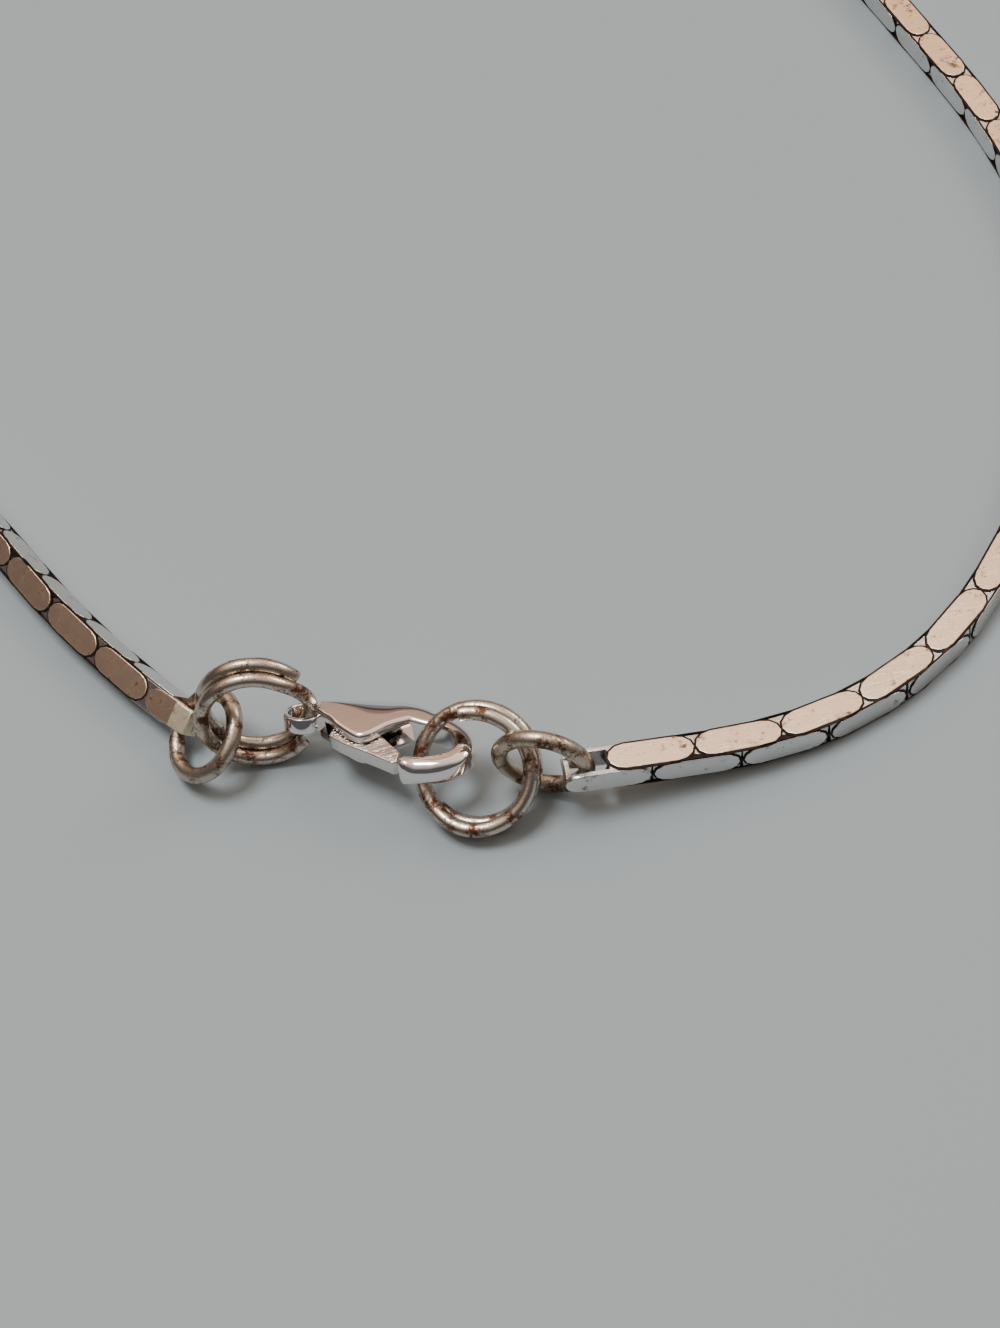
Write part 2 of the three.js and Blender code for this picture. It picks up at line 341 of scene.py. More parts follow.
def fitting_rims(
    outline: Sequence[Point],
    radii: Sequence[float],
    rounds: int = 80,
    shortest: float = 0.15,
    lessening: float = 0.9,
    slope: float = 0.5,
) -> list[float]:
    """Lessens the rounding where a bend is too tight for it, and eases it back beside such bends.

    Args:
        outline: The plate's points, counterclockwise.
        radii: The wanted rounding at each point.
        rounds: How often the outline is gone round.
        shortest: Share of its length that an edge keeps at least when it is moved inwards.
        lessening: Share of the rounding that stays each time that an edge gets too short.
        slope: How much more rounding a point may have than its neighbour, per length between them.

    Returns:
        The rounding that fits at each point.
    """
    ways = [Vector(way) for way in inward_ways(outline)]
    fitting = list(radii)
    for _ in range(rounds):
        for i in range(len(outline)):
            j = (i + 1) % len(outline)
            edge = Vector(outline[j]) - Vector(outline[i])
            inset = edge + ways[j] * fitting[j] - ways[i] * fitting[i]
            if inset.dot(edge) < shortest * edge.length_squared:
                fitting[i] *= lessening
                fitting[j] *= lessening
            fitting[i] = min(fitting[i], fitting[j] + slope * edge.length)
            fitting[j] = min(fitting[j], fitting[i] + slope * edge.length)
    return fitting


def evened(values: Sequence[float], reach: int) -> list[float]:
    """Evens out a closed row of values over its neighbours up to a reach."""
    offsets = range(-reach, reach + 1)
    return [
        sum(values[(i + k) % len(values)] for k in offsets) / len(offsets)
        for i in range(len(values))
    ]


def smoothstep(value: float, low: float, high: float) -> float:
    """Rises smoothly from 0 at low to 1 at high."""
    t = min(1.0, max(0.0, (value - low) / (high - low)))
    return t * t * (3 - 2 * t)


class NodeSheet:
    """Short ways to place and connect shader nodes on one node tree."""

    column = 190.0

    def __init__(self, tree: bpy.types.NodeTree) -> None:
        """Keeps the tree and places its nodes in a row."""
        self.tree = tree
        self.count = 0

    def add(self, kind: str, **inputs: object) -> bpy.types.Node:
        """Adds a node and fills or connects its inputs.

        Args:
            kind: Blender's name of the node type.
            inputs: Values or output sockets by input name, with _ for a space.

        Returns:
            The node.
        """
        node = self.tree.nodes.new(kind)
        node.location = (self.count * self.column, 0.0)
        self.count += 1
        for name, value in inputs.items():
            self.feed(node.inputs[name.replace("_", " ")], value)
        return node

    def feed(self, socket: Socket, value: object) -> None:
        """Gives a socket a plain value or a connection."""
        if isinstance(value, Socket):
            self.tree.links.new(value, socket)
        else:
            socket.default_value = value

    def use(self, group: bpy.types.NodeTree, **values: float) -> Socket:
        """Places a shader group with its own values and returns its output."""
        node = self.add("ShaderNodeGroup")
        node.node_tree = group
        for name, value in values.items():
            node.inputs[name].default_value = value
        return node.outputs[0]

    def noise(self, place: Socket, scale: object, detail: float, rough: float = 0.5) -> Socket:
        """Adds a noise pattern on a piece and returns its value."""
        inputs = {"Vector": place, "Scale": scale, "Detail": detail, "Roughness": rough}
        return self.add("ShaderNodeTexNoise", **inputs).outputs[0]

    def reckon(self, operation: str, *values: object) -> Socket:
        """Works out one sum.

        Args:
            operation: Blender's name of the sum.
            values: Numbers or output sockets, in the order of the node's inputs.

        Returns:
            The result.
        """
        node = self.add("ShaderNodeMath")
        node.operation = operation
        for socket, value in zip(node.inputs, values):
            self.feed(socket, value)
        return node.outputs[0]

    def mix_colour(self, share: object, first: object, second: object) -> Socket:
        """Mixes two colours by a share.

        Args:
            share: How much of the second colour there is.
            first: Colour at share 0.
            second: Colour at share 1.

        Returns:
            The mixed colour.
        """
        node = self.add("ShaderNodeMix")
        node.data_type = "RGBA"
        colour_inputs = (node.inputs[0], node.inputs[6], node.inputs[7])
        for socket, value in zip(colour_inputs, (share, first, second)):
            self.feed(socket, value)
        return node.outputs[2]

    def span(self, value: object, reach: Point, out: Point = (0.0, 1.0)) -> Socket:
        """Maps a value from one span to another, held at both ends.

        Args:
            value: The value.
            reach: The span that it comes from.
            out: The span that it goes to.

        Returns:
            The mapped value.
        """
        node = self.add("ShaderNodeMapRange")
        node.clamp = True
        for socket, number in zip(node.inputs, (value, *reach, *out)):
            self.feed(socket, number)
        return node.outputs[0]


@dataclass
class FinishShop:
    """Shader groups that several finishes share, each built once.

    Scales are per metre, the depth is in metres and the hairs' turn in radians.
    """

    speck_share: float = 0.45
    spot_rim: float = 0.16
    dent_scale: float = 900.0
    grain_scale: float = 9000.0
    hair_scale: float = 800.0
    hair_turn: float = 0.5
    hair_stretch: Point = (1.0, 14.0, 4.0)
    hair_span: Point = (0.55, 0.62)
    depth: float = 0.00003
    groups: dict[str, bpy.types.NodeTree] = field(default_factory=dict)

    def start(
        self, name: str, sockets: dict[str, float], output: str, kind: str
    ) -> tuple[NodeSheet, dict[str, Socket], Socket]:
        """Starts a shader group with number inputs and one output.

        Args:
            name: Name of the group.
            sockets: Input names with their first values.
            output: Name of the output.
            kind: Socket type of the output.

        Returns:
            The group's sheet, its inputs by name and the socket that its output is fed to.
        """
        tree = bpy.data.node_groups.new(name, "ShaderNodeTree")
        self.groups[name] = tree
        for socket, value in sockets.items():
            made = tree.interface.new_socket(
                name=socket, in_out="INPUT", socket_type="NodeSocketFloat"
            )
            made.default_value = value
        tree.interface.new_socket(name=output, in_out="OUTPUT", socket_type=kind)
        ins = tree.nodes.new("NodeGroupInput")
        outs = tree.nodes.new("NodeGroupOutput")
        return NodeSheet(tree), {s.name: s for s in ins.outputs if s.name}, outs.inputs[output]

    def tarnish(self) -> bpy.types.NodeTree:
        """Gives the group that says where brown tarnish sits: blotches with specky rims."""
        if "tarnish" in self.groups:
            return self.groups["tarnish"]
        amounts = {"Blotches": 700.0, "Specks": 4200.0, "Amount": 0.3}
        sheet, ins, mask = self.start("tarnish", amounts, "Mask", "NodeSocketFloat")
        place = sheet.add("ShaderNodeTexCoord").outputs["Object"]
        broad = sheet.noise(place, ins["Blotches"], detail=4.0, rough=0.62)
        fine = sheet.noise(place, ins["Specks"], detail=3.0, rough=0.7)
        both = sheet.reckon("MULTIPLY_ADD", fine, self.speck_share, broad)
        edge = sheet.reckon("SUBTRACT", 1.0, ins["Amount"])
        over = sheet.reckon("SUBTRACT", both, edge)
        sheet.feed(mask, sheet.span(over, (0.0, self.spot_rim)))
        return self.groups["tarnish"]

    def wear(self) -> bpy.types.NodeTree:
        """Gives the group that bends the surface: soft dents, fine grain and hair scratches."""
        if "wear" in self.groups:
            return self.groups["wear"]
        amounts = {"Dents": 0.3, "Grain": 0.1, "Scratches": 0.2, "Depth": self.depth}
        sheet, ins, normal = self.start("wear", amounts, "Normal", "NodeSocketVector")
        place = sheet.add("ShaderNodeTexCoord").outputs["Object"]
        dents = sheet.noise(place, self.dent_scale, detail=1.0)
        grain = sheet.noise(place, self.grain_scale, detail=2.0)
        turn = (0.0, 0.0, self.hair_turn)
        drawn = sheet.add("ShaderNodeMapping", Vector=place, Rotation=turn, Scale=self.hair_stretch)
        hairs = sheet.noise(drawn.outputs[0], self.hair_scale, detail=2.0, rough=0.8)
        thin = sheet.span(hairs, self.hair_span, (0.0, -1.0))
        height: object = 0.0
        for name, source in (("Dents", dents), ("Grain", grain), ("Scratches", thin)):
            height = sheet.reckon("MULTIPLY_ADD", source, ins[name], height)
        bump = sheet.add("ShaderNodeBump", Height=height, Distance=ins["Depth"], Strength=1.0)
        sheet.feed(normal, bump.outputs[0])
        return self.groups["wear"]


class LinkTone:
    """How bright each link is: a number of its own on every copy."""

    name = "link_tone"

    @staticmethod
    def mark(piece: Piece, tone: float) -> None:
        """Writes one tone on all faces of a piece."""
        layer = piece.data.attributes.new(LinkTone.name, "FLOAT", "FACE")
        layer.data.foreach_set("value", [tone] * len(piece.data.polygons))


@dataclass(frozen=True)
class MetalFinish:
    """A silver-tone metal with tarnish and wear.

    The tarnish takes a share of the surface, in blotches and specks of so many per metre. The
    tone is how much darker than the metal the darkest link is.
    """

    name: str
    metal: Point
    brown: Point
    gloss: float
    dull: float
    amount: float
    blotches: float = 700.0
    specks: float = 4200.0
    dents: float = 0.4
    grain: float = 0.12
    scratches: float = 0.25
    tone: float = 0.0

    def make(self, shop: FinishShop) -> Metal:
        """Builds the material.

        Args:
            shop: Where the shared shader groups come from.

        Returns:
            The material.
        """
        material = bpy.data.materials.new(self.name)
        material.use_nodes = True
        sheet = NodeSheet(material.node_tree)
        shader = material.node_tree.nodes["Principled BSDF"]
        mask = sheet.use(
            shop.tarnish(), Amount=self.amount, Blotches=self.blotches, Specks=self.specks
        )
        clean: object = (*self.metal, 1.0)
        if self.tone > 0:
            tone = sheet.add("ShaderNodeAttribute")
            tone.attribute_name = LinkTone.name
            darker = (*(channel * (1 - self.tone) for channel in self.metal), 1.0)
            clean = sheet.mix_colour(tone.outputs["Fac"], darker, clean)
        normal = sheet.use(
            shop.wear(), Dents=self.dents, Grain=self.grain, Scratches=self.scratches
        )
        for name, value in {
            "Metallic": 1.0,
            "Base Color": sheet.mix_colour(mask, clean, (*self.brown, 1.0)),
            "Roughness": sheet.span(mask, (0.0, 1.0), (self.gloss, self.dull)),
            "Normal": normal,
        }.items():
            sheet.feed(shader.inputs[name], value)
        return material


# Top and side pads are one silver, tinted apart by face direction: the top faces carry a painted
# warm reflection of the ceiling, and the side faces a darker painted grey reflection.
PAD_TOP = MetalFinish(
    "pad_champagne_silver", (1.0, 0.77, 0.58), (0.16, 0.08, 0.04),
    gloss=0.3, dull=0.55, amount=0.21, blotches=1500.0, dents=0.25, scratches=0.1, tone=0.12,
)
PAD_SIDE = MetalFinish(
    "pad_grey_silver", (0.8, 0.78, 0.76), (0.24, 0.16, 0.11),
    gloss=0.22, dull=0.5, amount=0.17, blotches=1500.0, dents=0.3, scratches=0.1, tone=0.12,
)
# Painted shade: a dark metal for the links' walls and the thin beds between links, where the
# grooves lie in shade; its brown specks are tarnish.
CREVICE_SHADE = MetalFinish(
    "crevice_brown", (0.075, 0.06, 0.05), (0.035, 0.025, 0.02),
    gloss=0.5, dull=0.7, amount=0.5,
)
END_TAB = MetalFinish(
    "end_tab_brassy", (1.0, 0.9, 0.68), (0.24, 0.15, 0.07),
    gloss=0.45, dull=0.6, amount=0.24, blotches=1500.0, dents=0.5, grain=0.3,
)
RING_WIRE = MetalFinish(
    "jump_ring_wire", (0.57, 0.49, 0.4), (0.12, 0.06, 0.03),
    gloss=0.32, dull=0.6, amount=0.31, blotches=1100.0, specks=8500.0,
    dents=0.2, grain=0.25, scratches=0.0,
)
SPLIT_WIRE = MetalFinish(
    "split_ring_wire", (0.64, 0.56, 0.47), (0.13, 0.055, 0.03),
    gloss=0.26, dull=0.55, amount=0.3, blotches=1100.0, specks=8500.0,
    dents=0.15, grain=0.2, scratches=0.0,
)
POLISHED = MetalFinish(
    "clasp_polished", (0.93, 0.88, 0.86), (0.45, 0.38, 0.33),
    gloss=0.07, dull=0.2, amount=0.02, dents=0.08, grain=0.02, scratches=0.0,
)
LEVER_METAL = MetalFinish(
    "lever_polished", (0.86, 0.81, 0.78), (0.36, 0.29, 0.24),
    gloss=0.14, dull=0.35, amount=0.1, dents=0.1, grain=0.1, scratches=0.3,
)


@dataclass
class ChainRoute:
    """The chain's line, in millimetres, with the roll of its section, in degrees."""

    section: float = 1.6
    pad_width: float = 1.44
    left_roll: float = 33.0
    roll_hold: float = 24.0
    roll_ease: float = 60.0
    samples_per_span: int = 160
    knots: tuple[Point, ...] = (
        (9.54, -5.16, 1.3), (13.67, -5.47, 0.75), (17.89, -5.66, 0.3), (22.22, -5.05, 0.05),
        (26.26, -3.53, 0), (29.88, -0.99, 0), (35.72, 5.67, 0), (39.9, 13.5, 0),
        (42.13, 22.01, 0), (42.2, 30.87, 0), (41.04, 39.32, 0), (38.4, 55, 0),
        (36, 76, 0), (33.5, 98, 0), (30, 121, 0), (22, 141, 0),
        (8, 154, 0), (-10, 157, 0), (-27, 149.5, 0), (-37, 133, 0),
        (-40, 112, 0), (-38.5, 90, 0), (-34.5, 68, 0), (-29, 46, 0),
        (-23.2, 29.5, 0), (-18.29, 18.95, 0), (-16.28, 14.72, 0), (-14.11, 10.89, 0),
        (-11.74, 7.1, 0.1), (-9.7, 4.2, 0.45),
    )
    points: list[Vector] = field(default_factory=list)
    reach: list[float] = field(default_factory=lambda: [0.0])

    def __post_init__(self) -> None:
        """Samples the line, a centripetal spline through the knots, and measures it."""
        knots = [Vector(k) for k in self.knots]
        ends = [2 * knots[0] - knots[1], *knots, 2 * knots[-1] - knots[-2]]
        for before, a, b, after in zip(ends, ends[1:], ends[2:], ends[3:]):
            first, span, last = (
                math.sqrt((q - p).length) for p, q in ((before, a), (a, b), (b, after))
            )
            leave = (a - before) / first - (b - before) / (first + span) + (b - a) / span
            arrive = (b - a) / span - (after - a) / (span + last) + (after - b) / last
            leave, arrive = leave * span, arrive * span
            rise = 3 * (b - a) - 2 * leave - arrive
            fall = 2 * (a - b) + leave + arrive
            for k in range(self.samples_per_span):
                t = k / self.samples_per_span
                self.points.append(a + leave * t + rise * t**2 + fall * t**3)
        self.points.append(knots[-1])
        for p, q in zip(self.points, self.points[1:]):
            self.reach.append(self.reach[-1] + (q - p).length)

    @property
    def length(self) -> float:
        """Length of the line in millimetres."""
        return self.reach[-1]

    def roll_at(self, distance: float) -> float:
        """Roll of the section in radians at a distance along the line."""
        past_hold = self.length - distance
        eased = smoothstep(past_hold, self.roll_hold, self.roll_hold + self.roll_ease)
        return math.radians(self.left_roll) * (1 - eased)

    def middle_at(self, distance: float) -> Vector:
        """Finds the middle of the section, lifted so that its lowest corner touches the line.

        Args:
            distance: Distance along the line, which runs on straight past its ends.

        Returns:
            The middle in drawing millimetres.
        """
        inside = min(max(distance, 0.0), self.length)
        i = min(max(bisect_right(self.reach, inside) - 1, 0), len(self.points) - 2)
        along = (self.points[i + 1] - self.points[i]).normalized()
        point = self.points[i] + along * (inside - self.reach[i]) + along * (distance - inside)
        roll = self.roll_at(inside)
        half, corner = self.section / 2, self.pad_width / 2
        flat_first = corner * math.sin(roll) + half * math.cos(roll)
        edge_first = half * math.sin(roll) + corner * math.cos(roll)
        return point + Vector((0.0, 0.0, max(flat_first, edge_first)))

    def place_between(self, start: float, end: float) -> Matrix:
        """Finds the place of a straight link.

        Args:
            start: Distance along the line where the link starts.
            end: Distance where it ends.

        Returns:
            The place of the link's middle: X along the link, Z out of its flat face.
        """
        first, last = self.middle_at(start), self.middle_at(end)
        along = (last - first).normalized()
        level = Vector((-along.y, along.x, 0.0)).normalized()
        steep = along.cross(level)
        roll = self.roll_at((start + end) / 2)
        left = level * math.cos(roll) + steep * math.sin(roll)
        up = steep * math.cos(roll) - level * math.sin(roll)
        place = Matrix((along, left, up)).transposed().to_4x4()
        place.translation = (first + last) / 2
        return place


@dataclass
class BarChain:
    """The chain: flat links and side links that cross, half a link apart, with both end links.

    Sizes are in millimetres and turns in degrees. Rims are the widths of rounded edges, left_lay
    is the stretch of the route that the left end's plates follow, and beyond is how far a cut
    reaches past the piece that it cuts.
    """

    route: ChainRoute
    top: Metal
    side: Metal
    # The wall metal is painted shade for the links' walls and beds.
    wall: Metal
    tab_metal: Metal
    pitch_wanted: float = 4.34
    end_gap: float = 0.12
    rim: float = 0.045
    cut_rim: float = 0.04
    pad_half: float = 0.69
    end_stretch: float = 1.25
    half_round_points: int = 7
    groove: float = 0.1
    groove_depth: float = 0.055
    bed_thickness: float = 0.05
    core_half: float = 0.7
    core_corner: float = 0.06
    core_start: float = 0.12
    plate: float = 0.24
    strap: float = 0.32
    strap_low: float = -0.2
    strap_high: float = 0.3
    beyond: float = 1.0
    left_reach: float = 3.4
    left_opening: float = 1.5
    left_neck: float = 0.26
    left_lay: float = 2.0
    tab: float = 1.3
    tab_rim: float = 0.18
    tab_rim_steps: int = 3
    tab_step: float = 0.04
    wobble: float = 1.1
    nod: float = 0.44
    end_tone: float = 0.8
    wall_tilt: float = 0.2
    soft_angle: float = 50.0
    flat_weight: int = 100
    seed: int = 11
    count: int = field(init=False)
    pitch: float = field(init=False)
    chance: random.Random = field(init=False)

    def __post_init__(self) -> None:
        """Works out the pitch that divides the line evenly."""
        whole = self.route.length - self.left_reach
        self.count = round(whole / self.pitch_wanted)
        self.pitch = whole / self.count
        self.chance = random.Random(self.seed)

    @property
    def half(self) -> float:
        """Half of the section's height."""
        return self.route.section / 2

    @property
    def link_length(self) -> float:
        """Length of one link."""
        return self.pitch - self.end_gap

    def stadium(self, start: float, end: float, square_end: bool, margin: float) -> list[Point]:
        """Draws the outline of a link with two round ends, or a square far end.

        Args:
            start: Where the link starts along X.
            end: Where it ends.
            square_end: Whether the far end is square.
            margin: How far the outline lies outside the link's own.

        Returns:
            The outline's points, counterclockwise.
        """
        radius = self.pad_half + margin
        reach = radius * self.end_stretch
        near, far = start - margin + reach, end + margin - reach
        steps = self.half_round_points - 1
        bow = [
            (reach * math.sin(math.pi * i / steps), radius * math.cos(math.pi * i / steps))
            for i in range(steps + 1)
        ]
        outline = [(end + margin, -radius), (end + margin, radius)]
        if not square_end:
            outline = [(far + out, -across) for out, across in bow]
        return outline + [(near - out, across) for out, across in bow]

    def link(self, start: float, end: float, square_end: bool = False) -> Piece:
        """Models one link through the whole section, with a soft rim."""
        outline = self.stadium(start, end, square_end, 0.0)
        piece = Bench.plate(outline, -self.half, self.half)
        Bench.round_edges(piece, self.rim)
        return piece

    def bed(self, start: float, end: float) -> Piece:
        """Models the sunk bed round a link, above and below, which shows as a thin dark line of
        painted shade.
        """
        outline = self.stadium(start, end, False, self.groove)
        top = self.half - self.groove_depth
        low = top - self.bed_thickness
        return Bench.join([Bench.plate(outline, low, top), Bench.plate(outline, -top, -low)])

    def bedded(self, face: Metal) -> Piece:
        """Models a link with its bed.

        Args:
            face: Metal of the link's flat faces and rims.

        Returns:
            The link about the origin, lying flat.
        """
        end = self.link_length / 2
        link = Bench.paint(self.link(-end, end), face, self.wall)
        # Steep faces take the wall metal: painted shade on the link's side walls, as on the bed.
        for polygon in link.data.polygons:
            polygon.material_index = int(abs(polygon.normal.z) < self.wall_tilt)
        return Bench.join([link, Bench.paint(self.bed(-end, end), self.wall)])

    def core(self, start: float, end: float) -> Piece:
        """Models a stretch of the square core, whose corners show between the links."""
        half = self.core_half
        piece = Bench.box((start, -half, -half), (end, half, half))
        Bench.round_edges(piece, self.core_corner)
        return Bench.paint(piece, self.side)

    def turn_sideways(self, piece: Piece) -> Piece:
        """Turns a flat link into a side link and returns it."""
        piece.data.transform(Matrix.Rotation(math.pi / 2, 4, Axis.X.value))
        return piece

    def shaken(self) -> Matrix:
        """Gives a small chance turn, as worn links have."""
        about = math.radians(self.chance.uniform(-1, 1) * self.wobble)
        nod = math.radians(self.chance.uniform(-1, 1) * self.nod)
        return Matrix.Rotation(about, 4, Axis.X.value) @ Matrix.Rotation(nod, 4, Axis.Y.value)

    def lay(self, pattern: Piece, start: float) -> Piece:
        """Lays a copy of a link along the route.

        Args:
            pattern: The link that is copied.
            start: Distance along the route where the copy starts.

        Returns:
            The copy.
        """
        place = self.route.place_between(start, start + self.link_length)
        copy = Bench.copy_at(pattern, place @ self.shaken())
        LinkTone.mark(copy, self.chance.random())
        return copy

    def place_end(self, piece: Piece, start: float, end: float) -> Piece:
        """Sets a piece of an end link, drawn at its distances along the route, in its place.

        Args:
            piece: The piece.
            start: Distance where the stretch that it follows starts.
            end: Distance where that stretch ends.

        Returns:
            The piece.
        """
        back = Matrix.Translation((-(start + end) / 2, 0.0, 0.0))
        piece.data.transform(Matrix.Scale(MM, 4) @ back @ Matrix.Scale(1 / MM, 4))
        piece.data.transform(metres(self.route.place_between(start, end)))
        LinkTone.mark(piece, self.end_tone)
        return piece

    def right_end(self) -> Piece:
        """Models the right end link: two side plates, joined by a curled strap at their ends."""
        start = self.end_gap / 2 - self.pitch / 2
        end, strap_end = start + self.link_length, start + self.strap
        gap, tall = self.half - self.plate, 2 * self.half
        piece = self.turn_sideways(Bench.paint(self.link(start, end), self.side))
        Bench.cut_box(piece, (strap_end, -gap, -tall), (self.core_start, gap, tall))
        outside = start - self.beyond
        Bench.cut_box(piece, (outside, -gap, -tall), (strap_end, gap, self.strap_low))
        Bench.cut_box(piece, (outside, -gap, self.strap_high), (strap_end, gap, tall))
        Bench.round_edges(piece, self.cut_rim)
        return self.place_end(Bench.join([piece, self.core(self.core_start, end)]), start, end)

    def left_end(self) -> list[Piece]:
        """Models the left end link.

        Returns:
            The top and bottom plates, the square tab that joins them, the last side plates and
            the last stretch of the core.
        """
        length, half, tall = self.route.length, self.half, 2 * self.half
        start = self.count * self.pitch + self.end_gap / 2
        opening_end = length - self.left_neck
        opening = opening_end - self.left_opening
        gap = half - self.plate
        flat = Bench.paint(self.link(start, length - self.tab / 2, square_end=True), self.top)
        tab = Bench.box((length - self.tab, -self.pad_half, -half), (length, self.pad_half, half))
        Bench.paint(tab, self.tab_metal)
        for piece in (flat, tab):
            Bench.cut_box(piece, (opening, -tall, -gap), (opening_end, tall, gap))
        Bench.round_edges(tab, self.tab_rim, self.tab_rim_steps)
        flat.data.transform(Matrix.Diagonal((1.0, 1.0, 1 - self.tab_step / half, 1.0)))
        before = start - self.pitch / 2
        side = Bench.paint(self.link(before, opening, square_end=True), self.side)
        inner = (self.turn_sideways(side), self.core(before, opening))
        lay_start = (start + length - self.left_lay) / 2
        lay_end = lay_start + self.left_lay
        outer = [self.place_end(piece, lay_start, lay_end) for piece in (flat, tab)]
        return outer + [self.place_end(piece, before, opening) for piece in inner]

    def build(self) -> Piece:
        """Builds the whole chain as one piece."""
        flat, beside = self.bedded(self.top), self.turn_sideways(self.bedded(self.side))
        core = self.core(-self.pitch / 2, self.pitch / 2)
        pieces = []
        for i in range(self.count):
            start = i * self.pitch + self.end_gap / 2
            pieces.append(self.lay(flat, start))
            if i > 0:
                pieces += [self.lay(pattern, start - self.pitch / 2) for pattern in (beside, core)]
        chain = Bench.join([*pieces, self.right_end(), *self.left_end()])
        for pattern in (flat, beside, core):
            bpy.data.objects.remove(pattern, do_unlink=True)
        Bench.smooth(chain, self.soft_angle, self.flat_weight)
        chain.name = "chain_links"
        return chain


@dataclass
class Ring:
    """What every ring of the necklace has: its name, its node and its place in millimetres."""

    soft_angle: ClassVar[float] = 38.0
    name: str
    node: str
    centre: Point
    facing: Point

    def complete(self, ring: Piece, metal: Metal) -> Piece:
        """Names, smooths and paints a ring that is in its place, and returns it."""
        ring.name = self.name
        Bench.smooth(ring, self.soft_angle)
        return Bench.paint(ring, metal)


@dataclass
class JumpRing(Ring):
    """A round wire ring, in millimetres."""

    radius: float = 2.15
    wire: float = 0.84

    def build(self, metal: Metal) -> Piece:
        """Builds the ring in its place.

        Args:
            metal: Metal of the wire.

        Returns:
            The ring.
        """
        Bench.clear()
        radii = {"major_radius": self.radius * MM, "minor_radius": self.wire / 2 * MM}
        bpy.ops.mesh.primitive_torus_add(**radii, major_segments=96, minor_segments=28)
        ring = bpy.context.object
        turn = Vector((0.0, 0.0, 1.0)).rotation_difference(Vector(self.facing).normalized())
        place = Matrix.Translation(Vector(self.centre)) @ turn.to_matrix().to_4x4()
        ring.data.transform(metres(place))
        return self.complete(ring, metal)


@dataclass
class SplitRing(Ring):
    """A ring wound nearly twice from one wire, in millimetres and degrees.

    The wire starts at an angle and sweeps round. At the crossing it climbs from its first turn to
    its second, and the two turns are spread apart at the spread's angle.
    """

    radius: float
    start: float
    sweep: float
    spread: float
    spread_angle: float
    crossing: float
    flatten: float
    wire: float = 0.76
    turn_gap: float = 0.06
    crossing_half: float = 45.0
    steps_per_turn: int = 90
    wire_steps: int = 6
    end_rim: float = 0.05

    def middle_line(self) -> list[Vector]:
        """Works out the wire's middle line in drawing millimetres."""
        facing = Vector(self.facing).normalized()
        right = (Vector((1.0, 0.0, 0.0)) - facing * facing.x).normalized()
        away = facing.cross(right)
        side = math.radians(self.spread_angle)
        apart = right * math.cos(side) + away * math.sin(side)
        steps = round(self.steps_per_turn * self.sweep / 360)
        line = []
        for i in range(steps + 1):
            degrees = self.start + self.sweep * i / steps
            angle = math.radians(degrees)
            low, high = self.crossing - self.crossing_half, self.crossing + self.crossing_half
            second = smoothstep(degrees, low, high)
            stacked = 1 - self.flatten * math.cos(angle - side) ** 2
            climb = (self.wire + self.turn_gap) * (second - 0.5) * stacked
            round_way = right * math.cos(angle) + away * math.sin(angle)
            shift = apart * (self.spread * (0.5 - second))
            line.append(Vector(self.centre) + round_way * self.radius + shift + facing * climb)
        return line

    def build(self, metal: Metal) -> Piece:
        """Builds the ring: a round wire drawn along its middle line, with cut ends.

        Args:
            metal: Metal of the wire.

        Returns:
            The ring.
        """
        Bench.clear()
        bpy.ops.curve.primitive_nurbs_path_add()
        path = bpy.context.object
        curve = path.data
        curve.splines.clear()
        spline = curve.splines.new("POLY")
        line = self.middle_line()
        spline.points.add(len(line) - 1)
        for point, place in zip(spline.points, line):
            point.co = (*((place + ORIGIN_SHIFT) * MM), 1.0)
        curve.dimensions = "3D"
        curve.bevel_depth = self.wire / 2 * MM
        curve.bevel_resolution = self.wire_steps
        curve.use_fill_caps = True
        Bench.pick(path)
        bpy.ops.object.convert(target="MESH")
        ring = bpy.context.object
        Bench.settle(ring)
        Bench.tidy_mesh(ring)
        Bench.round_edges(ring, self.end_rim)
        return self.complete(ring, metal)


